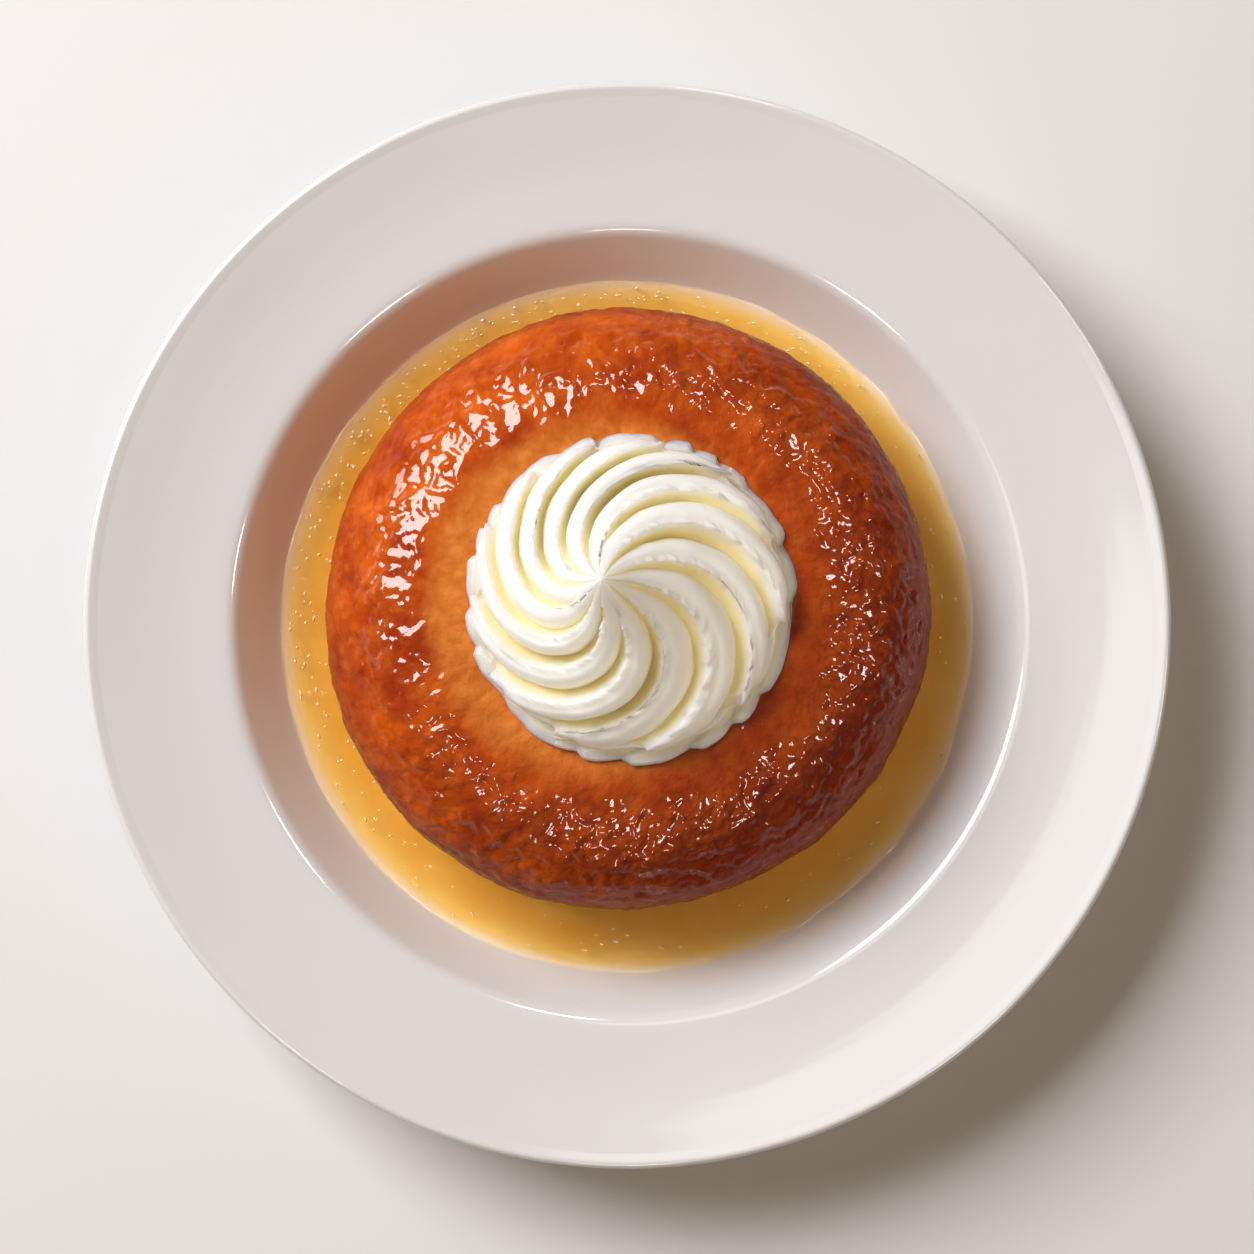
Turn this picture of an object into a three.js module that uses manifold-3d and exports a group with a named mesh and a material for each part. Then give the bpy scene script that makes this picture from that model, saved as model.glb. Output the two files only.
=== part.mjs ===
// A rum baba served on its plate: a soaked yeast cake with a dimpled top stands in a pool of syrup,
// with a rosette of whipped cream piped into the dimple.
// Millimetres, +Z up. The plate's foot ring stands on z = 0 and the Z axis is the plate's axis.
import * as THREE from "three";
import { mergeVertices } from "three/addons/utils/BufferGeometryUtils.js";
import Module from "manifold-3d";

// Baba: a ring-topped cake that bulges over its foot
const babaRadius = 52.3; // at its widest
const babaBulge = 4.8; // of its widest ring over its foot
const babaFootRound = 3;
const babaShoulder = 20.3; // from its widest ring in to its crest
const babaHeight = 36;
const babaWidestHeight = 16.5;
const dimpleDepth = 14;
const babaOffset = new THREE.Vector2(0, 2.1); // it isn't quite in the middle of the plate

// Plate: a deep well, a wide rim and a foot ring
const moatWidth = 16.9; // from the baba's widest ring to the top of the well's wall
const wellDepth = 12.6;
const wellWallSlope = THREE.MathUtils.degToRad(52);
const wellFootRound = 11;
const shoulderRound = 2;
const rimWidth = 25.8;
const rimInnerSlope = THREE.MathUtils.degToRad(8.5);
const rimOuterSlope = THREE.MathUtils.degToRad(14.5);
const rimRound = 200; // the rim is slightly hollow
const lipWidth = 2.3;
const lipHeight = 0.4;
const lipRound = 1.5;
const plateThickness = 3.8;
const footInset = 21.7; // of the foot ring's middle from the top of the well's wall
const footWidth = 5;
const footHeight = 3.2;

// Syrup
const syrupDepth = 3;

// Whipped cream: a rosette of piped arms
const creamInset = 4; // of its widest ring from the baba's crest
const creamHeight = 26; // of the peak over the baba's crest
const creamBellyHeight = 4; // of its widest ring over the baba's crest
const creamArms = 12;
const creamArmDepth = 0.2; // of the grooves, as a share of the radius
const creamTwist = THREE.MathUtils.degToRad(-88); // from the peak to the widest ring
const creamLean = new THREE.Vector2(-4.2, 0.9); // of the peak from the rosette's axis
const creamOffset = new THREE.Vector2(0.6, 0.5); // of the rosette's axis from the baba's

// Clearances between pieces that touch
const restingGap = 0.3; // baba over plate, syrup over plate
const soakGap = 0.3; // syrup round baba
const dimpleGap = 0.4; // cream over baba

const babaFootRadius = babaRadius - babaBulge;
const babaCrestRadius = babaRadius - babaShoulder;
const wellRadius = babaRadius + moatWidth;
const plateRadius = wellRadius + rimWidth;
const creamRadius = babaCrestRadius - creamInset;
const wellFloor = footHeight + plateThickness;
const babaBase = wellFloor + restingGap;
const babaCrest = babaBase + babaHeight;

// How finely the rounded shapes are faceted
const arcStep = THREE.MathUtils.degToRad(18);
const plateSides = 68;
const babaSides = 60;
const babaRows = 27;
const sidesPerArm = 6;
const creamRows = 20;

const wasm = await Module();
wasm.setup();

// Turns corners [radius, height, rounding] into an outline whose corners are rounded off.
function roundedOutline(corners) {
  const points = corners.map(([radius, height]) => new THREE.Vector2(radius, height));
  return points.flatMap((corner, i) => {
    const rounding = corners[i][2];
    if (!rounding) return [corner];
    const back = points[i - 1].clone().sub(corner);
    const ahead = points[i + 1].clone().sub(corner);
    const turn = Math.PI - back.angleTo(ahead);
    const reach = Math.min(rounding * Math.tan(turn / 2), back.length() / 2, ahead.length() / 2);
    const start = corner.clone().addScaledVector(back.normalize(), reach);
    const end = corner.clone().addScaledVector(ahead.normalize(), reach);
    const steps = Math.max(2, Math.ceil(turn / arcStep));
    return new THREE.QuadraticBezierCurve(start, corner, end).getPoints(steps);
  });
}

// Revolves an outline about the Z axis.
function turned(outline, segments) {
  const geometry = new THREE.LatheGeometry(outline, segments);
  return geometry.rotateX(Math.PI / 2);
}

// Calls move(point) with each vertex of a geometry and stores what it changed.
function reshape(geometry, move) {
  const position = geometry.getAttribute("position");
  const point = new THREE.Vector3();
  for (let i = 0; i < position.count; i++) {
    point.fromBufferAttribute(position, i);
    move(point);
    position.setXYZ(i, point.x, point.y, point.z);
  }
  return geometry;
}

function solidOf(geometry) {
  const bare = geometry.clone().deleteAttribute("normal").deleteAttribute("uv");
  const merged = mergeVertices(bare, 1e-3);
  return new wasm.Manifold(
    new wasm.Mesh({
      numProp: 3,
      vertProperties: merged.getAttribute("position").array,
      triVerts: new Uint32Array(merged.index.array),
    }),
  );
}

// The largest body that a cut leaves.
function largestOf(solid) {
  return solid.decompose().reduce((a, b) => (a.volume() > b.volume() ? a : b));
}

function geometryOf(solid) {
  const { vertProperties, triVerts } = solid.getMesh();
  const geometry = new THREE.BufferGeometry();
  geometry.setAttribute("position", new THREE.BufferAttribute(vertProperties, 3));
  geometry.setIndex(new THREE.BufferAttribute(triVerts, 1));
  return geometry;
}

// The point under a corner of the plate's upper face, at the plate's thickness from both its sides.
function undersideOf([radius, height], slopeBefore, slopeAfter) {
  const middle = (slopeBefore + slopeAfter) / 2;
  const reach = plateThickness / Math.cos((slopeBefore - slopeAfter) / 2);
  return [radius + reach * Math.sin(middle), height - reach * Math.cos(middle)];
}

function plateGeometry() {
  const wellFoot = [wellRadius - wellDepth / Math.tan(wellWallSlope), wellFloor];
  const shoulder = [wellRadius, wellFloor + wellDepth];
  const lipInner = plateRadius - lipWidth;
  const halfRim = (lipInner - wellRadius) / 2;
  const rimMiddle = [wellRadius + halfRim, shoulder[1] + halfRim * Math.tan(rimInnerSlope)];
  const rimEdge = rimMiddle[1] + halfRim * Math.tan(rimOuterSlope);
  const lipTop = rimEdge + lipHeight + lipWidth * Math.tan(rimOuterSlope);
  const underFoot = undersideOf(wellFoot, 0, wellWallSlope);
  const underShoulder = undersideOf(shoulder, wellWallSlope, rimInnerSlope);
  const underRim = undersideOf(rimMiddle, rimInnerSlope, rimOuterSlope);
  const footOuter = wellRadius - footInset + footWidth / 2;
  const footInner = footOuter - footWidth;
  const outline = roundedOutline([
    [0, footHeight],
    [footInner, footHeight],
    [footInner, 0],
    [footOuter, 0],
    [footOuter, footHeight],
    [...underFoot, wellFootRound],
    [...underShoulder, shoulderRound + plateThickness],
    [...underRim, rimRound],
    [plateRadius - lipRound, lipTop - plateThickness, lipRound],
    [plateRadius, lipTop - lipRound, lipRound],
    [plateRadius - lipRound / 2, lipTop, lipRound],
    [lipInner + lipHeight, rimEdge + lipHeight + lipHeight * Math.tan(rimOuterSlope), lipHeight],
    [lipInner, rimEdge, lipHeight],
    [...rimMiddle, rimRound],
    [...shoulder, shoulderRound],
    [...wellFoot, wellFootRound],
    [0, wellFloor],
  ]);
  return turned(outline, plateSides);
}

// The baba's outline from under its middle round to the bottom of its dimple, grown by a margin.
function babaOutline(margin) {
  const base = babaBase - margin;
  const footRadius = babaFootRadius + margin;
  const radius = babaRadius + margin;
  const widest = babaBase + babaWidestHeight;
  const crest = babaCrest + margin;
  const halfCrest = babaCrestRadius / 2;
  const outline = new THREE.Path();
  outline.moveTo(0, base);
  outline.lineTo(footRadius - babaFootRound, base);
  outline.quadraticCurveTo(footRadius, base, footRadius, base + babaFootRound);
  outline.quadraticCurveTo(radius, widest - babaWidestHeight / 2, radius, widest);
  outline.absellipse(
    babaCrestRadius, widest, radius - babaCrestRadius, crest - widest, 0, Math.PI / 2, false, 0,
  );
  outline.bezierCurveTo(halfCrest, crest, halfCrest, crest - dimpleDepth, 0, crest - dimpleDepth);
  return outline.getSpacedPoints(babaRows);
}

// A home-made cake isn't quite round or level: it swells here and there.
function babaSwell(point) {
  const angle = Math.atan2(point.y, point.x);
  const swell = 1 + 0.006 * Math.cos(2 * angle - 1.4) + 0.004 * Math.cos(3 * angle + 0.5);
  const rise = (point.z - babaBase) / babaHeight;
  const lift = 0.5 * Math.cos(angle - 2.2) + 0.3 * Math.cos(3 * angle + 1.1);
  const share = THREE.MathUtils.smoothstep(rise, 0.4, 1) * Math.hypot(point.x, point.y);
  point.x *= swell;
  point.y *= swell;
  point.z += (lift * share) / babaRadius;
}

function babaGeometry(margin = 0) {
  const geometry = reshape(turned(babaOutline(margin), babaSides), babaSwell);
  return geometry.translate(babaOffset.x, babaOffset.y, 0);
}

// Syrup filling the well up to its level, less the plate below it and the baba that stands in it.
function syrupGeometry(plate) {
  const inPlate = plateThickness / 2;
  const level = wellFloor + syrupDepth;
  const wallAtLevel = wellRadius - (wellDepth - syrupDepth) / Math.tan(wellWallSlope);
  const wellFoot = wellRadius - wellDepth / Math.tan(wellWallSlope);
  const filling = turned(
    [
      new THREE.Vector2(0, wellFloor - inPlate),
      new THREE.Vector2(wellFoot - wellFootRound / 2, wellFloor - inPlate),
      new THREE.Vector2(wallAtLevel + inPlate, level),
      new THREE.Vector2(0, level),
    ],
    plateSides,
  );
  const liftedPlate = plate.clone().translate(0, 0, restingGap / Math.cos(wellWallSlope));
  const pool = solidOf(filling).subtract(solidOf(liftedPlate));
  return geometryOf(largestOf(pool.subtract(solidOf(babaGeometry(soakGap)))));
}

// A piped arm across its width: it rises quickly to a thin crest and falls off slowly behind it.
function armRidge(turns) {
  const across = turns - Math.floor(turns);
  const crest = 0.34;
  return across < crest ? (across / crest) ** 1.5 : ((1 - across) / (1 - crest)) ** 1.5;
}

// Cream piped round and up to a peak, its star arms wound about the axis, cut to sit in the dimple.
function creamGeometry() {
  const belly = babaCrest + creamBellyHeight;
  const rise = creamHeight - creamBellyHeight;
  const hidden = babaCrest - dimpleDepth - 3;
  const flank = new THREE.SplineCurve([
    new THREE.Vector2(0.84 * creamRadius, babaCrest - 4),
    new THREE.Vector2(creamRadius, belly - 1),
    new THREE.Vector2(0.93 * creamRadius, belly + 0.06 * rise),
    new THREE.Vector2(0.82 * creamRadius, belly + 0.16 * rise),
    new THREE.Vector2(0.62 * creamRadius, belly + 0.31 * rise),
    new THREE.Vector2(0.38 * creamRadius, belly + 0.51 * rise),
    new THREE.Vector2(0.18 * creamRadius, belly + 0.74 * rise),
    new THREE.Vector2(0.07 * creamRadius, belly + 0.91 * rise),
    new THREE.Vector2(0, belly + rise),
  ]);
  const outline = [
    new THREE.Vector2(0, hidden),
    new THREE.Vector2(0.8 * creamRadius, hidden),
    ...flank.getPoints(creamRows),
  ];
  const geometry = reshape(turned(outline, creamArms * sidesPerArm), (point) => {
    const radius = Math.hypot(point.x, point.y);
    const angle = Math.atan2(point.y, point.x);
    const out = radius / creamRadius;
    const ridge = armRidge((creamArms * angle) / (2 * Math.PI));
    const wound = angle + creamTwist * out ** 2;
    const ridged = radius * (1 - creamArmDepth * (1 - ridge));
    const up = THREE.MathUtils.smoothstep(point.z, belly, belly + rise);
    point.x = ridged * Math.cos(wound) + creamLean.x * up;
    point.y = ridged * Math.sin(wound) + creamLean.y * up;
  });
  geometry.translate(babaOffset.x + creamOffset.x, babaOffset.y + creamOffset.y, 0);
  const liftedBaba = solidOf(babaGeometry().translate(0, 0, dimpleGap));
  return geometryOf(largestOf(solidOf(geometry).subtract(liftedBaba)));
}

function piece(name, geometry, color, roughness) {
  const material = new THREE.MeshStandardMaterial({ color, roughness, metalness: 0 });
  const mesh = new THREE.Mesh(geometry, material);
  mesh.name = name;
  return mesh;
}

const plate = plateGeometry();
const rumBaba = new THREE.Group();
rumBaba.add(piece("plate", plate, 0xf3f0eb, 0.12));
rumBaba.add(piece("syrup", syrupGeometry(plate), 0xc9853a, 0.06));
rumBaba.add(piece("baba", babaGeometry(), 0xa8501c, 0.35));
rumBaba.add(piece("whipped_cream", creamGeometry(), 0xfaf5e8, 0.5));

export default rumBaba;
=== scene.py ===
# A rum baba on its plate: porcelain plate, soaked yeast cake, rum syrup and whipped cream.
import math

import bmesh
import bpy
import numpy as np
from mathutils import Matrix, Vector, noise


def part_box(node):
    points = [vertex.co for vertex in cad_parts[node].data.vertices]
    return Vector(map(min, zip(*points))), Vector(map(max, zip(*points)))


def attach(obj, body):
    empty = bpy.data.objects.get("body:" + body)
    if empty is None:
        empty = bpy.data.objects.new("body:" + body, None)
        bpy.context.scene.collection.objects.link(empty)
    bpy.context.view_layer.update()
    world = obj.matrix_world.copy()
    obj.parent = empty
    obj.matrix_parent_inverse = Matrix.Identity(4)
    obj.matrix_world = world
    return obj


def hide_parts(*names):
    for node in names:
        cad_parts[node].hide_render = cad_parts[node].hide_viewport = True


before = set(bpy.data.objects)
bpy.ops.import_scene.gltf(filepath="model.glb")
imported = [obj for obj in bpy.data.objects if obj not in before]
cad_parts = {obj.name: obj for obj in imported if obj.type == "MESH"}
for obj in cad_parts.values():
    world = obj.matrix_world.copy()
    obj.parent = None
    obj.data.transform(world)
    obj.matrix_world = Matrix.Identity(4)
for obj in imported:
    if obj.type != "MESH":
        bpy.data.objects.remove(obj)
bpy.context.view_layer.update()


# ---------------------------------------------------------------- plate
# A round dessert plate with a deep well, a wide hollow rim and a raised lip. It is pressed porcelain
# under a clear glaze; only the face of the foot ring, which stood on the kiln's shelf, is left bare.

MM = 0.001
plate_high = np.array(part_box("plate")[1]) / MM
plate_radius = plate_high[0]
rim_width = 25.6
rim_inner_slope = math.radians(8.5)
rim_outer_slope = math.radians(14.5)
well_radius = plate_radius - rim_width
well_depth = 12.6
well_wall_slope = math.radians(52)
plate_thickness = 3.8
foot_height = 3.2
foot_width = 5.0
foot_inset = 21.7
lip_width = 2.3
lip_round = 1.5
foot_edge = 1.2
pole_gap = 0.3
plate_sides = 288
longest_step = 1.2
well_floor = foot_height + plate_thickness


def rounded(corners):
    """An outline through corners (radius, height, rounding), each rounded by a smooth curve."""
    points = [np.array(corner[:2], float) for corner in corners]
    outline = []
    for i, corner in enumerate(corners):
        if len(corner) == 2:
            outline.append(points[i])
            continue
        back = points[i - 1] - points[i]
        ahead = points[i + 1] - points[i]
        back_length = np.linalg.norm(back)
        ahead_length = np.linalg.norm(ahead)
        turn = math.pi - math.acos(np.dot(back, ahead) / back_length / ahead_length)
        reach = min(corner[2] * math.tan(turn / 2), back_length / 2, ahead_length / 2)
        start = points[i] + back * reach / back_length
        end = points[i] + ahead * reach / ahead_length
        steps = max(4, math.ceil(math.degrees(turn) / 9), math.ceil(reach / 1.5))
        for t in np.linspace(0, 1, steps + 1):
            outline.append((1 - t) ** 2 * start + 2 * t * (1 - t) * points[i] + t**2 * end)
    return np.array(outline)


def divided(outline, longest):
    """The outline with points added on its long sides, none of them longer than this."""
    points = [outline[0]]
    for start, end in zip(outline, outline[1:]):
        parts = math.ceil(np.linalg.norm(end - start) / longest)
        points += [start + (end - start) * part / parts for part in range(1, parts + 1)]
    return np.array(points)


def under_corner(corner, slope_before, slope_after):
    """The point below a corner of the upper face, one wall's thickness from both its sides."""
    middle = (slope_before + slope_after) / 2
    reach = plate_thickness / math.cos((slope_before - slope_after) / 2)
    return (corner[0] + reach * math.sin(middle), corner[1] - reach * math.cos(middle))


def fade(value, low, high):
    """A smooth step from 0 at low to 1 at high."""
    t = np.clip((value - low) / (high - low), 0, 1)
    return t * t * (3 - 2 * t)


def placed(name, data):
    """A new object in the scene, made of a mesh, a lamp or a lens."""
    thing = bpy.data.objects.new(name, data)
    bpy.context.collection.objects.link(thing)
    return thing


def skin(name, rings, first=None, last=None):
    """A closed smooth mesh over rings of points in millimetres.

    The rings end in two poles, first and last, or the last ring joins the first one.
    """
    rows, columns = rings.shape[:2]
    points = rings.reshape(-1, 3).tolist()
    here = np.arange(columns)
    beside = np.roll(here, -1)
    faces = []
    for low in range(rows - 1 if first is not None else rows):
        high = (low + 1) % rows
        corners = (low * columns + here, low * columns + beside)
        corners += (high * columns + beside, high * columns + here)
        faces += np.stack(corners, 1).tolist()
    if first is not None:
        for pole, row in ((first, 0), (last, rows - 1)):
            centre = np.full(columns, len(points))
            points.append(list(pole))
            faces += np.stack((centre, row * columns + here, row * columns + beside), 1).tolist()
    mesh = bpy.data.meshes.new(name)
    mesh.from_pydata((np.array(points) * MM).tolist(), [], faces)
    shell = bmesh.new()
    shell.from_mesh(mesh)
    bmesh.ops.recalc_face_normals(shell, faces=shell.faces)
    shell.to_mesh(mesh)
    shell.free()
    mesh.shade_smooth()
    return placed(name, mesh)


def new_material(name, settings):
    """A material whose shader has these plain settings, with its node tree and its shader."""
    material = bpy.data.materials.new(name)
    material.use_nodes = True
    tree = material.node_tree
    shader = tree.nodes["Principled BSDF"]
    for socket, value in settings.items():
        shader.inputs[socket].default_value = value
    return material, tree, shader


def add(tree, kind, inputs=None, **settings):
    """A new node with these settings, whose inputs are plain values or other nodes' sockets."""
    node = tree.nodes.new(kind)
    for key, value in settings.items():
        setattr(node, key, value)
    for socket, value in (inputs or {}).items():
        if isinstance(value, bpy.types.NodeSocket):
            tree.links.new(value, node.inputs[socket])
        else:
            node.inputs[socket].default_value = value
    return node


def new_group(name, inputs, outputs):
    """An empty node group with these inputs (name: default) and outputs, and its two end nodes."""
    tree = bpy.data.node_groups.new(name, "ShaderNodeTree")
    for socket, default in inputs.items():
        kind = "NodeSocketFloat" if isinstance(default, float) else "NodeSocketColor"
        made = tree.interface.new_socket(socket, in_out="INPUT", socket_type=kind)
        made.default_value = default
    for socket, kind in outputs.items():
        tree.interface.new_socket(socket, in_out="OUTPUT", socket_type=kind)
    return tree, tree.nodes.new("NodeGroupInput"), tree.nodes.new("NodeGroupOutput")


def painted(tree, name):
    """The value that is stored under this name for each point of a piece."""
    return add(tree, "ShaderNodeAttribute", attribute_name=name).outputs["Fac"]


def mixed_colour(tree, share, first, second):
    """The first colour where share is 0 and the second where it is 1."""
    mix = add(tree, "ShaderNodeMix", {"Factor": share, 6: first, 7: second}, data_type="RGBA")
    return mix.outputs[2]


def ranged(tree, value, start, end, low, high):
    """A value that goes from low to high while the given one goes from start to end."""
    return add(tree, "ShaderNodeMapRange", {0: value, 1: start, 2: end, 3: low, 4: high}).outputs[0]


def reckoned(tree, operation, *values, clamp=False):
    """The result of a sum on plain values or other nodes' sockets."""
    inputs = dict(enumerate(values))
    return add(tree, "ShaderNodeMath", inputs, operation=operation, use_clamp=clamp).outputs[0]


def bumped(tree, height, strength, depth, over=None):
    """The normal of a surface with this relief, depth metres deep, over another one's normal."""
    inputs = {"Strength": strength, "Distance": depth, "Height": height}
    if over is not None:
        inputs["Normal"] = over
    return add(tree, "ShaderNodeBump", inputs).outputs[0]


def feed(tree, node, inputs):
    """Links other nodes' sockets to a node's inputs."""
    for socket, source in inputs.items():
        tree.links.new(source, node.inputs[socket])


# Clouding: two colours mixed by soft noise, for glaze, crust, bubbles and cream, which vary from
# place to place.
clouding, inside, outside = new_group(
    "Clouding",
    {"Scale": 100.0, "Detail": 3.0, "Contrast": 1.5, "Light": (1, 1, 1, 1), "Dark": (0, 0, 0, 1)},
    {"Color": "NodeSocketColor"},
)
cloud = add(
    clouding,
    "ShaderNodeTexNoise",
    {
        "Vector": add(clouding, "ShaderNodeTexCoord").outputs["Object"],
        "Scale": inside.outputs["Scale"],
        "Detail": inside.outputs["Detail"],
    },
)
centred = reckoned(clouding, "SUBTRACT", cloud.outputs["Fac"], 0.5)
patches = reckoned(
    clouding, "MULTIPLY_ADD", centred, inside.outputs["Contrast"], 0.5, clamp=True
)
tint = mixed_colour(clouding, patches, inside.outputs["Dark"], inside.outputs["Light"])
feed(clouding, outside, {"Color": tint})

# Unevenness: the height of a surface that is nowhere quite flat, for glaze, crust and cream.
unevenness, inside, outside = new_group(
    "Unevenness",
    {"Scale": 100.0, "Detail": 2.0, "Roughness": 0.5, "Stretch": 0.0},
    {"Height": "NodeSocketFloat"},
)
uneven = add(
    unevenness,
    "ShaderNodeTexNoise",
    {
        "Vector": add(unevenness, "ShaderNodeTexCoord").outputs["Object"],
        "Scale": inside.outputs["Scale"],
        "Detail": inside.outputs["Detail"],
        "Roughness": inside.outputs["Roughness"],
        "Distortion": inside.outputs["Stretch"],
    },
)
feed(unevenness, outside, {"Height": uneven.outputs["Fac"]})


def grouped(tree, group, inputs):
    """A group placed in a material with its own values."""
    node = add(tree, "ShaderNodeGroup", node_tree=group)
    for socket, value in inputs.items():
        node.inputs[socket].default_value = value
    return node


well_foot = (well_radius - well_depth / math.tan(well_wall_slope), well_floor)
shoulder = (well_radius, well_floor + well_depth)
lip_inner = plate_radius - lip_width
half_rim = (lip_inner - well_radius) / 2
rim_middle = (well_radius + half_rim, shoulder[1] + half_rim * math.tan(rim_inner_slope))
rim_edge = rim_middle[1] + half_rim * math.tan(rim_outer_slope)
lip_top = plate_high[2]
foot_outer = well_radius - foot_inset + foot_width / 2
foot_inner = foot_outer - foot_width

plate_corners = [
    (pole_gap, foot_height),
    (foot_inner - foot_edge, foot_height, 0.8),
    (foot_inner, foot_height - foot_edge, 0.8),
    (foot_inner + 0.5, 0, 0.6),
    (foot_outer - 0.7, 0, 0.6),
    (foot_outer, foot_height - 0.6, foot_edge),
    (*under_corner(well_foot, 0, well_wall_slope), 11),
    (*under_corner(shoulder, well_wall_slope, rim_inner_slope), 5.8),
    (*under_corner(rim_middle, rim_inner_slope, rim_outer_slope), 200),
    (plate_radius - lip_round, lip_top - plate_thickness, 1.8),
    (plate_radius, lip_top - lip_round, lip_round),
    (plate_radius - lip_round / 2, lip_top, lip_round),
    (lip_inner - 0.5, rim_edge + 0.12, 2.0),
    (*rim_middle, 200),
    (*shoulder, 4.0),
    (*well_foot, 11),
    (30, well_floor),
    (pole_gap, well_floor),
]
plate_outline = divided(rounded(plate_corners), longest_step)
around = np.linspace(0, 2 * math.pi, plate_sides, endpoint=False)

# No fired rim is quite level: it rises and falls by a tenth of a millimetre.
sag = 0.10 * np.sin(2 * around + 0.7) + 0.05 * np.sin(5 * around)
plate_rings = np.stack(
    [
        np.stack(
            [
                radius * np.cos(around),
                radius * np.sin(around),
                height + sag * max(0, radius - well_radius) / rim_width,
            ],
            1,
        )
        for radius, height in plate_outline
    ]
)
plate = skin("plate_porcelain", plate_rings, (0, 0, foot_height), (0, 0, well_floor))


def paint(piece, name, values):
    """Stores a value for each point of a piece, for its material to read."""
    layer = piece.data.attributes.new(name, "FLOAT", "POINT")
    layer.data.foreach_set("value", np.ascontiguousarray(values, np.float32))


# Painted warm shade: the well's wall on the window's side lies in shadow and is tinted the warm
# brown of light thrown back by the cake; the wall's foot in the cake's shadow is tinted less.
window_side_turn = math.radians(142)
radii = plate_outline[:, 0]
above = plate_outline[:, 1] > well_floor - 0.5
on_wall = (above * fade(well_radius + 0.6 - radii, 0, 2.5))[:, None]
on_foot = (above * fade(well_radius - 2.0 - radii, 0, 5.0))[:, None]
wall_in_shadow = (0.5 + 0.5 * np.cos(around - window_side_turn)) ** 3
foot_in_cake_shadow = (0.5 - 0.5 * np.cos(around - window_side_turn)) ** 3
# Painted warm shade on the shaded wall, and less of it on the wall's foot in the cake's shadow.
wall_warm_shade = on_wall * (0.03 + 0.97 * wall_in_shadow) + 0.6 * on_foot * foot_in_cake_shadow
paint(plate, "wall_warm_shade", np.append(wall_warm_shade.ravel(), [0.0, 0.0]))

# Warm brown of the painted shade on the well's wall.
warm_shade_colour = (0.95, 0.81, 0.64, 1)
clay_colour = (0.66, 0.60, 0.52, 1)
glaze_roughness = 0.09
clay_roughness = 0.75
glaze, tree, shader = new_material("porcelain glaze", {"IOR": 1.5, "Specular IOR Level": 0.9})
tone = grouped(
    tree,
    clouding,
    {
        "Scale": 18.0,
        "Contrast": 2.0,
        "Light": (0.77, 0.76, 0.757, 1),
        "Dark": (0.74, 0.73, 0.722, 1),
    },
)
spot = add(tree, "ShaderNodeSeparateXYZ", {0: add(tree, "ShaderNodeTexCoord").outputs["Object"]})
bare = ranged(tree, spot.outputs["Z"], 0.0007, 0.0004, 0.0, 1.0)
# The glaze's colour with the painted warm shade mixed in.
shade_tinted = mixed_colour(tree, painted(tree, "wall_warm_shade"), tone.outputs["Color"], warm_shade_colour)
ripple = grouped(tree, unevenness, {"Scale": 90.0, "Detail": 1.0, "Roughness": 0.4})
feed(
    tree,
    shader,
    {
        "Base Color": mixed_colour(tree, bare, shade_tinted, clay_colour),
        "Roughness": ranged(tree, bare, 0.0, 1.0, glaze_roughness, clay_roughness),
        "Normal": bumped(tree, ripple.outputs["Height"], 0.25, 0.0001),
    },
)
plate.data.materials.append(glaze)
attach(plate, "root")
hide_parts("plate")


# ---------------------------------------------------------------- baba
# A yeast cake baked in a ring-topped mould and soaked in rum syrup. The wet crust has shrunk over
# the crumb in a net of fine wrinkles; round the cream the syrup has sunk in and left it dull.

baba_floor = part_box("baba")[0][2] / MM
baba_centre = np.array([0.0, 2.1])
baba_radius = 52.3
baba_height = 36.0
baba_bulge = 4.8
baba_shoulder = 20.3
baba_foot_round = 3.0
baba_widest = 16.5
dimple_depth = 14.0
baba_base = well_floor - 0.05
baba_crest = baba_floor + baba_height
crest_radius = baba_radius - baba_shoulder
widest_height = baba_floor + baba_widest
baba_sides = 640
rings_seen = 138
rings_hidden = 18

# The crust's relief in millimetres: how wide each kind is, and how high, deep or steep.
lump_width, lump_height = 10.0, 0.50
knob_width, knob_height = 4.6, 0.17
facet_width, facet_tilt = 3.6, 0.22
chip_width, chip_tilt = 1.7, 0.38
crinkle_width, crinkle_height = 1.0, 0.065
crease_spacing, crease_width, crease_depth = 2.6, 0.10, 0.09
flute_count, flute_depth = 41, 0.08


def curve(start, first, second, end, steps):
    """Points of a cubic curve, without its start."""
    t = np.linspace(0, 1, steps + 1)[1:, None]
    points = (1 - t) ** 3 * start + 3 * t * (1 - t) ** 2 * first
    return points + 3 * t**2 * (1 - t) * second + t**3 * end


def baba_outline():
    """The cake's outline from the foot's edge to the middle of the dimple."""
    foot = np.array([baba_radius - baba_bulge, baba_base + baba_foot_round])
    widest = np.array([baba_radius, widest_height])
    crest = np.array([crest_radius, baba_crest])
    dimple = np.array([0.0, baba_crest - dimple_depth])
    corner = np.array([foot[0], baba_base])
    inner_foot = corner - (baba_foot_round, 0)
    low_side = np.array([baba_radius, widest_height - baba_widest / 2])
    round_foot = curve(inner_foot, (inner_foot + 2 * corner) / 3, (foot + 2 * corner) / 3, foot, 12)
    side = curve(foot, (foot + 2 * low_side) / 3, (widest + 2 * low_side) / 3, widest, 60)
    turn = np.linspace(0, math.pi / 2, 161)[1:]
    top = np.stack(
        [
            crest_radius + baba_shoulder * np.cos(turn),
            widest_height + (baba_crest - widest_height) * np.sin(turn),
        ],
        1,
    )
    dip = curve(crest, crest * (0.5, 1), dimple + (crest_radius / 2, 0), dimple, 120)
    return np.concatenate([[inner_foot], round_foot, side, top, dip])


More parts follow.
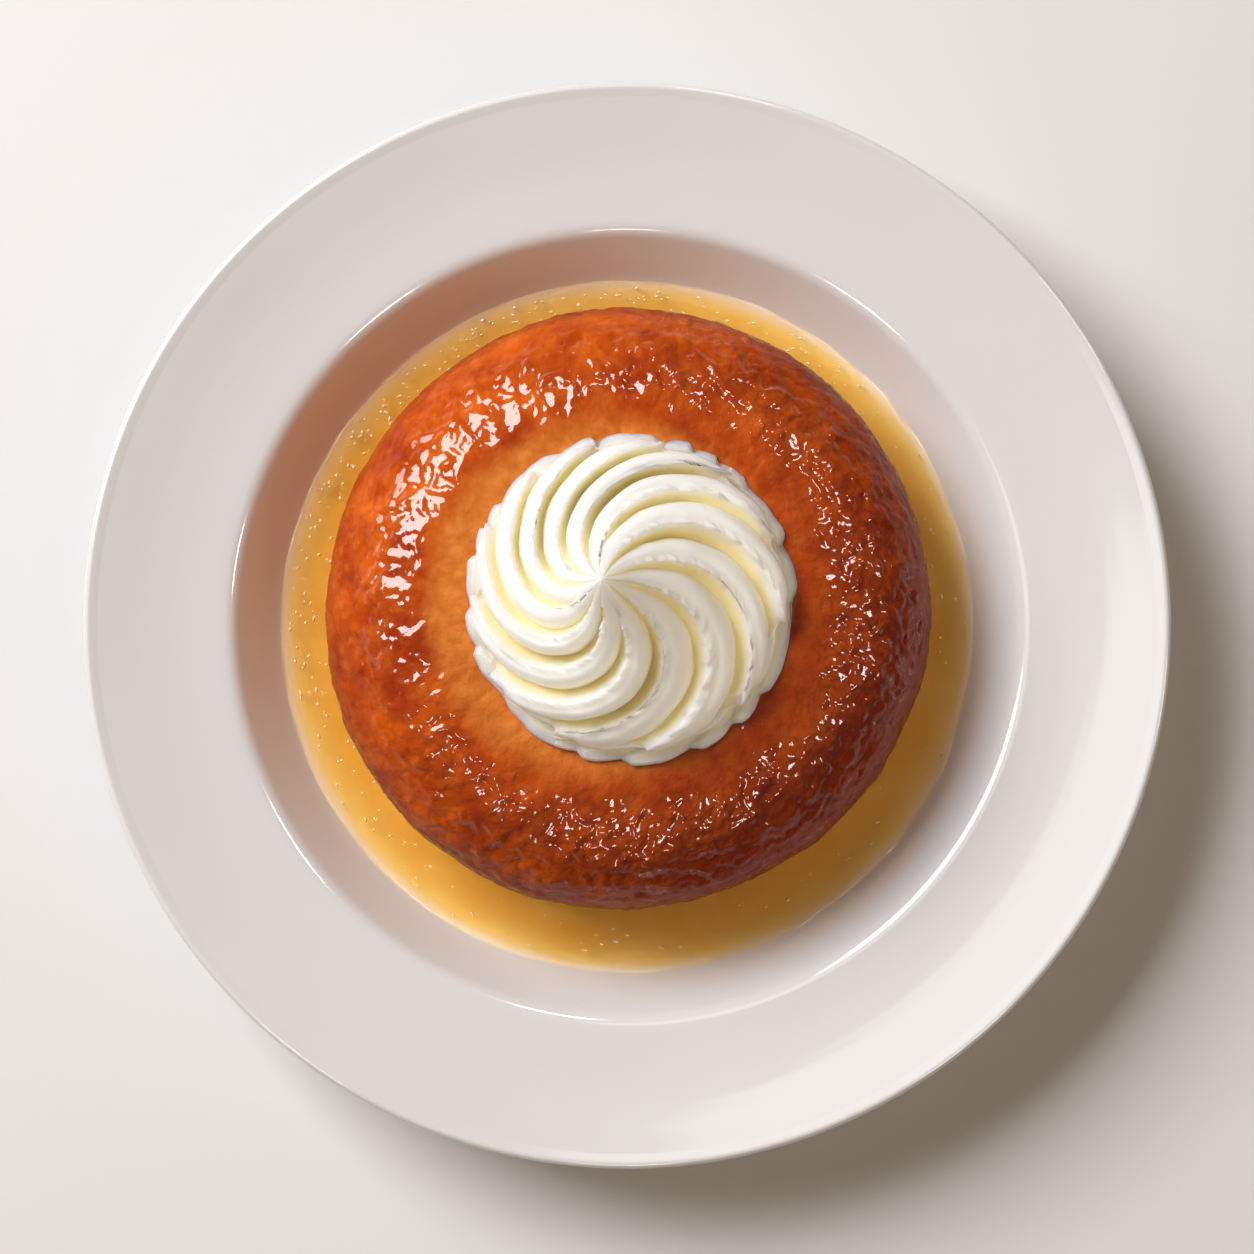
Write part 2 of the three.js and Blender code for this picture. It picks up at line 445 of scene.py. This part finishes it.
outline = baba_outline()
along = np.concatenate([[0], np.cumsum(np.linalg.norm(np.diff(outline, axis=0), axis=1))])
crest_along = along[np.argmax(outline[:, 1])]
fine_end = crest_along + 12.0
places = np.concatenate(
    [
        np.linspace(0, fine_end, rings_seen),
        np.linspace(fine_end, along[-1] - 0.6, rings_hidden)[1:],
    ]
)
turns = np.linspace(0, 2 * math.pi, baba_sides, endpoint=False)
radius_at = np.interp(places, along, outline[:, 0])
height_at = np.interp(places, along, outline[:, 1])
slope_r = np.gradient(radius_at, places)
slope_z = np.gradient(height_at, places)
length = np.hypot(slope_r, slope_z)
normal_r = slope_z / length
normal_z = -slope_r / length


def facets(spot, size, tilt):
    """Height in millimetres of a crumpled skin whose flat facets are about this size."""
    near, cells = noise.voronoi(spot / size)
    heights = [
        (spot / size - cell).dot(noise.cell_vector(cell * 31.7) - Vector((0.5, 0.5, 0.5)))
        for cell in cells[:2]
    ]
    share = min(1.0, (near[1] - near[0]) / 0.3)
    share = 0.5 + 0.5 * share * share * (3 - 2 * share)
    return size * tilt * (share * heights[0] + (1 - share) * heights[1])


def crust_relief(turn, radius, height, out):
    """Height of the crust over the cake's plain shape, in millimetres, and how creased it is."""
    spot = Vector((radius * math.cos(turn), radius * math.sin(turn), height))
    lump = noise.noise(spot / lump_width) * lump_height
    lump += noise.noise(spot / knob_width + Vector((7, 3, 1))) * knob_height
    bent = spot + 0.9 * noise.noise_vector(spot / 3.1)
    crumpled = facets(bent, facet_width, facet_tilt)
    crumpled += facets(bent + Vector((9, 4, 2)), chip_width, chip_tilt)
    bent = spot + 1.3 * noise.noise_vector(spot / 4.0 + Vector((4, 4, 4)))
    near = noise.voronoi(bent / crease_spacing)[0]
    crease = math.exp(-(((near[1] - near[0]) / crease_width) ** 2))
    crease *= 0.5 + 0.5 * noise.noise(spot / 10.0 + Vector((2, 2, 8)))
    flute = math.sin(flute_count * turn + 2.4 * noise.noise(spot / 5.0))
    fluted = math.exp(-(((out + 3) / 8.0) ** 2)) * max(0.0, flute) ** 2
    crinkle = noise.noise(spot / crinkle_width) * crinkle_height
    wetness = 0.25 + 0.75 * min(1.0, max(0.0, (out + 1.0) / 6.0))
    taut = 1 - 0.6 * min(1.0, max(0.0, (out - 22.0) / 10.0))
    fine = wetness * taut * (crumpled + crinkle - crease_depth * crease)
    return lump + fine - flute_depth * fluted, crease * wetness


def cake_swell(turns):
    """How far the cake is out of round at these angles, as a share of its radius."""
    return 1 + 0.006 * np.cos(2 * turns - 1.4) + 0.004 * np.cos(3 * turns + 0.5)


# The bends in the crust come from a seed, so the cake is the same each time.
noise.seed_set(7)
relief = np.zeros((len(places), baba_sides))
creases = np.zeros((len(places), baba_sides))
visible = fade(places, 1.0, 6.0)
visible *= 1 - fade(places, crest_along + 9, crest_along + 16)
for row, place in enumerate(places):
    if visible[row] == 0:
        continue
    for column, turn in enumerate(turns):
        relief[row, column], creases[row, column] = crust_relief(
            turn, radius_at[row], height_at[row], crest_along - place
        )
relief *= visible[:, None]
creases *= visible[:, None]

lift = 0.5 * np.cos(turns - 2.2) + 0.3 * np.cos(3 * turns + 1.1)
risen = fade((height_at - baba_floor) / baba_height, 0.4, 1.0) * radius_at / baba_radius
reach = (radius_at[:, None] + normal_r[:, None] * relief) * cake_swell(turns)
baba_rings = np.stack(
    [
        baba_centre[0] + reach * np.cos(turns),
        baba_centre[1] + reach * np.sin(turns),
        height_at[:, None] + normal_z[:, None] * relief + risen[:, None] * lift,
    ],
    2,
)
baba = skin(
    "baba_cake",
    baba_rings,
    (*baba_centre, baba_base),
    (*baba_centre, baba_crest - dimple_depth),
)

# Where the crust is dry, wet or puckered, and where shade is painted on the side away from the window.
# The two last values are the poles'.
window_turn = math.radians(145)
dry_turn = math.radians(172)
outward = np.repeat((crest_along - places)[:, None], baba_sides, 1)
dry_to = -2.6 + 3.4 * np.cos(turns - dry_turn)
dryness = 1 - fade(outward, dry_to - 2.5, dry_to + 3.5)
shaded = 0.5 - 0.5 * np.cos(turns - window_turn)
wet_side = 0.02 + 0.22 * shaded
wetness = 1 - fade(outward, 9.0, 18.0) * (1 - wet_side)
pucker = (0.25 + 0.75 * shaded) * (1 - 0.4 * fade(outward, 20.0, 30.0))
# Painted shade: darker on the side away from the window, from the cream's edge outward, most in a band
# down the outer slope.
far_side_shade = shaded**1.2 * fade(outward, -9.0, 2.0)
far_side_shade *= 1.0 + 0.45 * np.exp(-(((outward - 13.0) / 5.0) ** 2))
for name, values, poles in (
    ("crease", creases, (0.0, 0.0)),
    ("outward", outward, (60.0, -35.0)),
    ("dryness", dryness, (0.0, 1.0)),
    ("wetness", wetness, (0.0, 0.0)),
    ("pucker", pucker, (0.0, 0.0)),
    ("far_side_shade", far_side_shade, (0.5, 0.0)),
):
    paint(baba, name, np.append(values.ravel(), poles))

# Colour of the painted shade on the crust.
crust_shade_colour = (0.23, 0.022, 0.002, 1)
crust, tree, shader = new_material(
    "soaked crust",
    {"IOR": 1.25, "Specular IOR Level": 0.1, "Coat Roughness": 0.06, "Coat IOR": 1.6},
)
browned = grouped(
    tree,
    clouding,
    {
        "Scale": 130.0,
        "Detail": 5.0,
        "Contrast": 2.8,
        "Light": (0.72, 0.120, 0.006, 1),
        "Dark": (0.38, 0.036, 0.002, 1),
    },
)
pale = grouped(
    tree,
    clouding,
    {
        "Scale": 420.0,
        "Detail": 4.0,
        "Contrast": 2.2,
        "Light": (0.80, 0.27, 0.050, 1),
        "Dark": (0.60, 0.155, 0.02, 1),
    },
)
side = grouped(
    tree,
    clouding,
    {
        "Scale": 260.0,
        "Detail": 4.0,
        "Contrast": 2.0,
        "Light": (0.44, 0.085, 0.012, 1),
        "Dark": (0.30, 0.048, 0.007, 1),
    },
)
ragged = grouped(tree, unevenness, {"Scale": 260.0, "Detail": 3.0}).outputs["Height"]
ragged_edge = reckoned(tree, "MULTIPLY_ADD", ragged, 0.9, -0.45)
near_cream = reckoned(tree, "ADD", painted(tree, "dryness"), ragged_edge, clamp=True)
ragged_outward = reckoned(tree, "MULTIPLY_ADD", ragged, 7.0, painted(tree, "outward"))
at_side = ranged(tree, ragged_outward, 24.0, 34.0, 0.0, 1.0)
top_colour = mixed_colour(tree, near_cream, browned.outputs["Color"], pale.outputs["Color"])
crust_colour = mixed_colour(tree, at_side, top_colour, side.outputs["Color"])
# Painted shade in the crust's creases.
crease_shade = reckoned(tree, "MULTIPLY", painted(tree, "crease"), 0.5)
# Painted shade on the side away from the window and in the creases, mixed into the crust's colour.
crust_shade = reckoned(tree, "MULTIPLY_ADD", painted(tree, "far_side_shade"), 0.55, crease_shade, clamp=True)
wet_top = ranged(tree, near_cream, 0.0, 1.0, 1.0, 0.12)
pores = grouped(
    tree, unevenness, {"Scale": 1300.0, "Detail": 3.0, "Roughness": 0.6, "Stretch": 0.6}
)
wrinkles = grouped(
    tree, unevenness, {"Scale": 380.0, "Detail": 2.0, "Roughness": 0.5, "Stretch": 1.5}
)
puckered = reckoned(tree, "MULTIPLY", pores.outputs["Height"], painted(tree, "pucker"))
fine = bumped(tree, puckered, 0.7, 0.0003)
feed(
    tree,
    shader,
    {
        "Base Color": mixed_colour(tree, crust_shade, crust_colour, crust_shade_colour),
        "Coat Weight": reckoned(tree, "MULTIPLY", wet_top, painted(tree, "wetness")),
        "Roughness": ranged(tree, near_cream, 0.0, 1.0, 0.22, 0.5),
        "Normal": bumped(tree, wrinkles.outputs["Height"], 0.35, 0.0006, fine),
    },
)
baba.data.materials.append(crust)
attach(baba, "root")
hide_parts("baba")


# ---------------------------------------------------------------- syrup
# Rum syrup that has run out of the cake into the well. It is clear amber, so it looks deeper where
# it is deeper, and it climbs a little up the cake and up the glaze where it meets them.

syrup_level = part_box("syrup")[1][2] / MM
upper_rows = plate_outline[np.argmax(plate_outline[:, 0]) :][::-1]
level_rows = 30
wall_rows = upper_rows[level_rows:]
wall_radius = np.interp(syrup_level, wall_rows[:, 1], wall_rows[:, 0])
wall_wobble = 0.7
wall_climb = 0.35
wall_reach = 0.9
cake_climb = 0.55
cake_reach = 0.6
in_glaze = 0.12
in_wall = 0.25
in_cake = 0.6
pool_ripple = 0.04
pool_rings = 24
syrup_sides = 384
bubble_count = 440


def glaze_height(radius):
    """Height of the well's upper face at a radius."""
    return np.interp(radius, upper_rows[:, 0], upper_rows[:, 1])


turns = np.linspace(0, 2 * math.pi, syrup_sides, endpoint=False)
low_rings = slice(0, 60)
cake_radius = np.interp(syrup_level, height_at[low_rings], radius_at[low_rings])
inner = baba_centre[1] * np.sin(turns) + np.sqrt(
    (cake_radius * cake_swell(turns)) ** 2 - (baba_centre[1] * np.cos(turns)) ** 2
)
wobble = np.array(
    [
        noise.noise(Vector((wall_radius * math.cos(turn) / 7, wall_radius * math.sin(turn) / 7, 3)))
        for turn in turns
    ]
)
outer = wall_radius + wall_wobble * wobble


def pool_reach(part):
    """The pool's radii at a part of the way from inside the cake to inside the glaze."""
    return inner - in_cake + (outer + in_wall - inner + in_cake) * part


share = np.sin(np.linspace(0, math.pi / 2, pool_rings)) / 2
share = np.concatenate([share, 1 - share[::-1][1:]])
rows = []
depths = []
for part in share:
    reach = pool_reach(part)
    ripple_height = np.array(
        [
            noise.noise(Vector((r * math.cos(turn) / 9, r * math.sin(turn) / 9, 1)))
            for r, turn in zip(reach, turns)
        ]
    )
    top = syrup_level + pool_ripple * ripple_height
    top += cake_climb * np.exp(-np.maximum(reach - inner, 0) / cake_reach)
    top += wall_climb * np.exp(-np.maximum(outer - reach, 0) / wall_reach)
    top = np.maximum(top, glaze_height(reach) - in_glaze / 2)
    rows.append(np.stack([reach * np.cos(turns), reach * np.sin(turns), top], 1))
    depths.append(np.maximum(top - glaze_height(reach), 0))
for part in share[::-1][:-1][::2]:
    reach = pool_reach(part)
    floor_height = glaze_height(reach) - in_glaze
    rows.append(np.stack([reach * np.cos(turns), reach * np.sin(turns), floor_height], 1))
    depths.append(np.maximum(syrup_level - floor_height, 0))
syrup = skin("syrup_pool", np.stack(rows))
paint(syrup, "depth", np.concatenate(depths))

amber, tree, shader = new_material(
    "rum syrup", {"Transmission Weight": 1.0, "Roughness": 0.0, "IOR": 1.4}
)

# The stain is mixed from plain nodes, because it also colours the light that falls through the pool.
clear_stain = (0.93, 0.88, 0.80, 1)
middle_stain = (0.86, 0.62, 0.19, 1)
deep_stain = (0.70, 0.325, 0.018, 1)
place = add(tree, "ShaderNodeTexCoord").outputs["Object"]
cloud = add(tree, "ShaderNodeTexNoise", {"Vector": place, "Scale": 150.0, "Detail": 3.0})
centred = reckoned(tree, "SUBTRACT", cloud.outputs["Fac"], 0.5)
patches = reckoned(tree, "MULTIPLY_ADD", centred, 1.6, 0.5, clamp=True)
cloudy = ranged(tree, patches, 0.0, 1.0, 0.75, 1.0)
deep = reckoned(tree, "MULTIPLY", painted(tree, "depth"), cloudy)
stain = add(tree, "ShaderNodeValToRGB", {0: reckoned(tree, "MULTIPLY", deep, 0.25)})
ramp = stain.color_ramp
ramp.elements[0].color = clear_stain
ramp.elements[0].position = 0.0
ramp.elements[1].color = deep_stain
ramp.elements[1].position = 0.8
ramp.elements.new(0.35).color = middle_stain
see_through = add(tree, "ShaderNodeBsdfTransparent", {"Color": stain.outputs["Color"]})
mixed = add(
    tree,
    "ShaderNodeMixShader",
    {
        0: add(tree, "ShaderNodeLightPath").outputs["Is Shadow Ray"],
        1: shader.outputs[0],
        2: see_through.outputs[0],
    },
)
feed(tree, shader, {"Base Color": stain.outputs["Color"]})
feed(tree, tree.nodes["Material Output"], {"Surface": mixed.outputs[0]})
syrup.data.materials.append(amber)
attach(syrup, "root")
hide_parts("syrup")


# Small bubbles ride on the pool, most of them in streaks near its two shores and on one side.
streak_turn = math.radians(140)
streak_spread = math.radians(45)
random = np.random.default_rng(7)
bubble_shell = bmesh.new()
for _ in range(bubble_count):
    turn = random.uniform(0, 2 * math.pi)
    if random.random() < 0.55:
        turn = random.normal(streak_turn, streak_spread)
    column = int(turn / (2 * math.pi) * syrup_sides) % syrup_sides
    near_wall = random.random() < 0.6
    part = random.beta(5, 1.6) * 0.93 if near_wall else random.beta(1.4, 4) + 0.06
    reach = inner[column] + (outer[column] - inner[column]) * min(part, 0.95)
    size = random.uniform(0.15, 0.30)
    bubble = bmesh.ops.create_icosphere(bubble_shell, subdivisions=2, radius=size * MM)
    along_shore = random.uniform(1.0, 1.9)
    for vertex in bubble["verts"]:
        vertex.co.y *= along_shore
        vertex.co.z *= 0.9
    bmesh.ops.rotate(
        bubble_shell,
        verts=bubble["verts"],
        cent=(0, 0, 0),
        matrix=Matrix.Rotation(turn + random.normal(0, 0.3), 3, "Z"),
    )
    surface = max(syrup_level + 0.02, glaze_height(reach) + 0.02)
    place = Vector((reach * math.cos(turn), reach * math.sin(turn), surface)) * MM
    bmesh.ops.translate(bubble_shell, verts=bubble["verts"], vec=place)
bubble_mesh = bpy.data.meshes.new("syrup_bubbles")
bubble_shell.to_mesh(bubble_mesh)
bubble_shell.free()
bubble_mesh.shade_smooth()
bubbles = placed("syrup_bubbles", bubble_mesh)
bubble_film, tree, shader = new_material(
    "bubble film",
    {"Roughness": 0.04, "IOR": 1.4, "Specular IOR Level": 1.0, "Coat Weight": 1.0, "Coat IOR": 1.8},
)
# Pale opaque colour: painted glints that make the bubbles show as bright specks.
froth_and_glint_tone = grouped(
    tree,
    clouding,
    {
        "Scale": 900.0,
        "Contrast": 2.0,
        "Light": (1.0, 0.86, 0.52, 1),
        "Dark": (0.75, 0.50, 0.16, 1),
    },
)
feed(tree, shader, {"Base Color": froth_and_glint_tone.outputs["Color"]})
bubbles.data.materials.append(bubble_film)
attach(bubbles, "root")
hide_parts("syrup")


# ---------------------------------------------------------------- whipped cream
# Cream piped through a star nozzle: an uneven skirt, then a rosette whose arms wind out from a
# leaning peak. Each arm has a thin torn crest, a broad round back and a steep inner face.

cream_centre = baba_centre + (0.6, 0.5)
cream_radius = crest_radius - 4
cream_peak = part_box("whipped_cream")[1][2] / MM
cream_sunk = 0.9
peak_nudge = np.array([-0.35, 0.55])
cream_lean = np.array([-4.2, 0.9])
arm_count = 12
arm_columns = 34
arm_turn = math.radians(95)
first_arm = math.radians(4)
arm_start = math.radians(34.2)
wide_arms = math.radians(24.2)
arm_depth = 3.8
crest_raggedness = 1.1
petal_count = 19
petal_depth = 1.7
flank_rows = 210


def crown_height(radius):
    """Height of the cake's dimpled top at a radius from its axis."""
    inside_rows = slice(np.argmax(height_at), None)
    return np.interp(radius, radius_at[inside_rows][::-1], height_at[inside_rows][::-1])


def flowing(knots, count):
    """Evenly spaced points on a smooth line through knots."""
    knots = np.array(knots, float)
    steps = np.concatenate([[0], np.cumsum(np.linalg.norm(np.diff(knots, axis=0), axis=1))])
    slopes = np.gradient(knots, steps, axis=0)
    fine = np.linspace(0, steps[-1], count)
    at = np.clip(np.searchsorted(steps, fine, "right") - 1, 0, len(knots) - 2)
    width = (steps[at + 1] - steps[at])[:, None]
    t = ((fine - steps[at]) / width[:, 0])[:, None]
    line = (2 * t**3 - 3 * t**2 + 1) * knots[at] + (3 * t**2 - 2 * t**3) * knots[at + 1]
    return line + width * ((t**3 - 2 * t**2 + t) * slopes[at] + (t**3 - t**2) * slopes[at + 1])


def arm_section(across):
    """An arm's height from 0 to 1: a ragged crest at 0, a broad round back and a steep inner face."""
    valley = 0.76
    back = 1 - np.clip((across - 0.22) / (valley - 0.22), 0, 1) ** 2.2
    dip = 0.09 * np.exp(-(((across - 0.17) / 0.10) ** 2))
    steep = np.clip((across - valley) / (1 - valley), 0, 1) ** 1.2
    return np.where(across < valley, back - dip, steep)


def uneven_angle(phase):
    """Turns even phases into the uneven angles at which the nozzle's arms were laid down."""
    angle = phase + arm_start
    for _ in range(8):
        angle = phase + arm_start + 0.2 * np.sin(angle - wide_arms)
    return angle


belly = baba_crest + 4
cream_rise = cream_peak - belly
columns = arm_count * arm_columns
phase = np.linspace(0, 2 * math.pi, columns, endpoint=False)
arm = np.floor(arm_count * phase / (2 * math.pi))
across = arm_count * phase / (2 * math.pi) - arm
section = arm_section(across)
crest = np.exp(-((np.minimum(across, 1 - across) / 0.10) ** 2))
start = uneven_angle(phase + first_arm)
own = np.random.default_rng(4).uniform(-1, 1, (arm_count, 3))[arm.astype(int)]
merged = np.isin(arm, (1, 5, 8))
petal = petal_count * phase / (2 * math.pi) + 0.35 * np.sin(3 * phase + 1) + 0.2 * np.sin(7 * phase)
petal -= np.floor(petal)
scallop = np.where(petal < 0.8, 1 - 0.6 * (petal / 0.8) ** 2, 0.4 + 3.0 * (petal - 0.8))
flank = flowing(
    [
        (0.15, cream_peak),
        (0.07 * cream_radius, belly + 0.91 * cream_rise),
        (0.18 * cream_radius, belly + 0.74 * cream_rise),
        (0.38 * cream_radius, belly + 0.51 * cream_rise),
        (0.62 * cream_radius, belly + 0.31 * cream_rise),
        (0.82 * cream_radius, belly + 0.16 * cream_rise),
        (0.92 * cream_radius, belly + 0.05 * cream_rise),
        (0.945 * cream_radius, belly - 0.6),
        (0.915 * cream_radius, belly - 2.0),
        (0.96 * cream_radius, belly - 2.7),
        (1.0 * cream_radius, belly - 4.0),
        (0.97 * cream_radius, belly - 5.2),
        (0.86 * cream_radius, crown_height(0.86 * cream_radius) - cream_sunk),
    ],
    flank_rows,
)
flank_slope = np.gradient(flank, axis=0)
flank_slope /= np.linalg.norm(flank_slope, axis=1)[:, None]
rings = []
groove_shades = []
for (reach, height), (slope_out, slope_up) in zip(flank, flank_slope):
    out = reach / cream_radius
    in_skirt = float(fade(-height, -0.8 - belly, 2.8 - belly))
    bottom = float(fade(-height, 4.6 - belly, 6.5 - belly))
    width = 2 * math.pi * reach / arm_count
    depth = min(0.44 * width, arm_depth) * (1 - 0.3 * fade(out, 0.70, 0.95))
    way = math.hypot(reach, 0.6 * (belly + cream_rise - height))
    beads = np.array([noise.noise(Vector((way / 1.1, 5.3 * a, 2.0))) for a in range(arm_count)])
    beads += [0.5 * noise.noise(Vector((way / 0.45, 5.3 * a, 7.0))) for a in range(arm_count)]
    beads = beads[arm.astype(int)]
    soft = np.array(
        [
            noise.noise(Vector((reach * math.cos(p) / 3.5, reach * math.sin(p) / 3.5, height / 3.5)))
            for p in phase
        ]
    )
    ragged = crest * beads * min(1.0, (width / 4.0) ** 1.5)
    joined = 1 - 0.85 * merged * (1 - fade(out, 0.16, 0.42))
    armed = depth * (1 - section) * (1 + 0.22 * own[:, 0]) * joined
    armed -= crest_raggedness * ragged
    skirted = petal_depth * (1 - scallop) + 0.3 * beads
    sunk = (1 - in_skirt) * armed + in_skirt * skirted * (1 - 0.5 * bottom)
    sunk += 0.30 * soft * min(1.0, width / 3.0)
    sunk += 0.16 * depth * own[:, 2] * section * (1 - in_skirt)
    curl = (0.10 * width * section**3 + 0.5 * ragged) * (1 - in_skirt) / max(reach, 1.0)
    sway = 0.09 * own[:, 1] * section * math.sin(5 * out + 1)
    angle = start - arm_turn * min(out, 0.95) ** 2 - curl + sway
    lean = cream_lean * float(fade(height, belly, cream_peak))
    middle = cream_centre + lean + peak_nudge * (1 - in_skirt)
    far = reach + sunk * slope_up
    ring = [
        middle[0] + far * np.cos(angle),
        middle[1] + far * np.sin(angle),
        height - sunk * slope_out,
    ]
    rings.append(np.stack(ring, 1))
    # Painted warm shade: yellow in the deep grooves between the arms and in the groove between crown
    # and skirt.
    shade = np.exp(-(((across - 0.83) / 0.09) ** 2)) * (1 - in_skirt) * min(1.0, width / 2.5)
    shade *= joined
    shade = np.maximum(shade, 0.55 * math.exp(-(((height - belly + 2.1) / 0.7) ** 2)))
    groove_shades.append(shade)
last_ring = rings[-1]
for inward in np.linspace(1, 0, 12)[1:-1]:
    ring = last_ring.copy()
    ring[:, :2] = cream_centre + (ring[:, :2] - cream_centre) * inward
    spread = np.linalg.norm(ring[:, :2] - baba_centre, axis=1)
    ring[:, 2] = crown_height(spread) - cream_sunk
    rings.append(ring)
    groove_shades.append(np.zeros(columns))
top = (*(cream_centre + cream_lean + peak_nudge), cream_peak)
under = (*cream_centre, crown_height(0) - cream_sunk)
cream = skin("whipped_cream_rosette", np.stack(rings), top, under)
paint(cream, "groove_shade", np.append(np.concatenate(groove_shades), [0.0, 0.0]))

whipped, tree, shader = new_material(
    "whipped cream",
    {
        "Roughness": 0.42,
        "IOR": 1.4,
        "Specular IOR Level": 0.35,
        "Subsurface Weight": 0.9,
        "Subsurface Radius": (1.0, 0.85, 0.6),
        "Subsurface Scale": 0.007,
    },
)
body_tone = grouped(
    tree,
    clouding,
    {
        "Scale": 180.0,
        "Contrast": 1.5,
        "Light": (0.95, 0.93, 0.88, 1),
        "Dark": (0.94, 0.91, 0.84, 1),
    },
)
froth = grouped(tree, unevenness, {"Scale": 700.0, "Detail": 3.0})
# Yellow of the painted shade in the grooves.
groove_shade_colour = (1.0, 0.84, 0.50, 1)
feed(
    tree,
    shader,
    {
        "Base Color": mixed_colour(
            tree, painted(tree, "groove_shade"), body_tone.outputs["Color"], groove_shade_colour
        ),
        "Normal": bumped(tree, froth.outputs["Height"], 0.25, 0.0003),
    },
)
cream.data.materials.append(whipped)
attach(cream, "root")
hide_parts("whipped_cream")


# ---------------------------------------------------------------- floor, lights and camera
# A plain pale table under one soft window light from the upper left. A long light falls only on the
# plate, a weak one only on the cream, a weak warm one comes from the side opposite the window, and
# small lamps show only as glints in what is wet or glazed. The camera sees a pale backdrop.

floor_reach = 3
floor_corners = [(x * floor_reach, y * floor_reach, 0) for x, y in ((-1, -1), (1, -1), (1, 1), (-1, 1))]
floor_mesh = bpy.data.meshes.new("floor")
floor_mesh.from_pydata(floor_corners, [], [(0, 1, 2, 3)])
floor = placed("floor", floor_mesh)
pale_floor, tree, shader = new_material(
    "pale floor",
    {"Base Color": (0.85, 0.85, 0.85, 1), "Roughness": 0.9, "Specular IOR Level": 0.1},
)
floor.data.materials.append(pale_floor)

scene = bpy.context.scene
world = bpy.data.worlds.new("studio")
scene.world = world
world.use_nodes = True
sky = world.node_tree
ambient = sky.nodes["Background"]
ambient.inputs["Color"].default_value = (1.0, 0.94, 0.88, 1)
ambient.inputs["Strength"].default_value = 0.09
backdrop = add(sky, "ShaderNodeBackground", {"Color": (0.90, 0.89, 0.88, 1), "Strength": 0.75})
seen = add(
    sky,
    "ShaderNodeMixShader",
    {
        0: add(sky, "ShaderNodeLightPath").outputs["Is Camera Ray"],
        1: ambient.outputs[0],
        2: backdrop.outputs[0],
    },
)
feed(sky, sky.nodes["World Output"], {"Surface": seen.outputs[0]})

light_distance = 1.3


def soft_light(name, azimuth, elevation, size, power, colour):
    """A soft light, wide and high in metres, that looks at the plate from a direction in degrees."""
    lamp = bpy.data.lights.new(name, "AREA")
    lamp.shape = "RECTANGLE"
    lamp.size, lamp.size_y = size
    lamp.energy = power
    lamp.color = colour
    holder = placed(name, lamp)
    turn = math.radians(azimuth)
    rise = math.radians(elevation)
    level = math.cos(rise)
    towards = Vector((math.cos(turn) * level, math.sin(turn) * level, math.sin(rise)))
    holder.location = towards * light_distance + Vector((0, 0, 0.02))
    holder.rotation_euler = (math.pi / 2 - rise, 0, turn + math.pi / 2)
    return holder


def lit_alone(holder, name, piece):
    """Lets a light fall on one piece only."""
    receivers = bpy.data.collections.new(name)
    receivers.objects.link(piece)
    holder.light_linking.receiver_collection = receivers


soft_light("window", 142, 43, (0.72, 0.72), 19.5, (0.995, 0.985, 0.99))
overhead = soft_light("overhead", 142, 68, (1.2, 0.36), 2.1, (1.0, 1.0, 1.0))
lit_alone(overhead, "only plate", plate)
warm_fill = soft_light("warm fill", -35, 55, (0.8, 0.8), 2.5, (1.0, 0.66, 0.36))
warm_fill.visible_glossy = False
glint_colour = (1.0, 0.94, 0.92)
for azimuth, elevation in ((80, 44), (38, 54), (-5, 43), (-48, 54), (-90, 44), (-130, 54)):
    glint = soft_light(f"glint {azimuth}", azimuth, elevation, (0.17, 0.17), 1.35, glint_colour)
    glint.visible_diffuse = False
cream_fill = soft_light("cream fill", -35, 40, (0.6, 0.6), 3.6, (1.0, 0.90, 0.74))
cream_fill.visible_glossy = False
lit_alone(cream_fill, "only cream", cream)

view_tilt = math.radians(3)
view_distance = 0.518
rim_height = plate_high[2] * MM
view_width = 0.2175
view_south = 0.0012
sensor_width = 36
lens = bpy.data.cameras.new("camera")
lens.sensor_width = sensor_width
lens.lens = sensor_width * view_distance / view_width
camera = placed("camera", lens)
camera.rotation_euler = (view_tilt, 0, 0)
camera.location = (
    0,
    -view_south - math.sin(view_tilt) * view_distance,
    rim_height + math.cos(view_tilt) * view_distance,
)
scene.camera = camera
scene.view_settings.view_transform = "Standard"
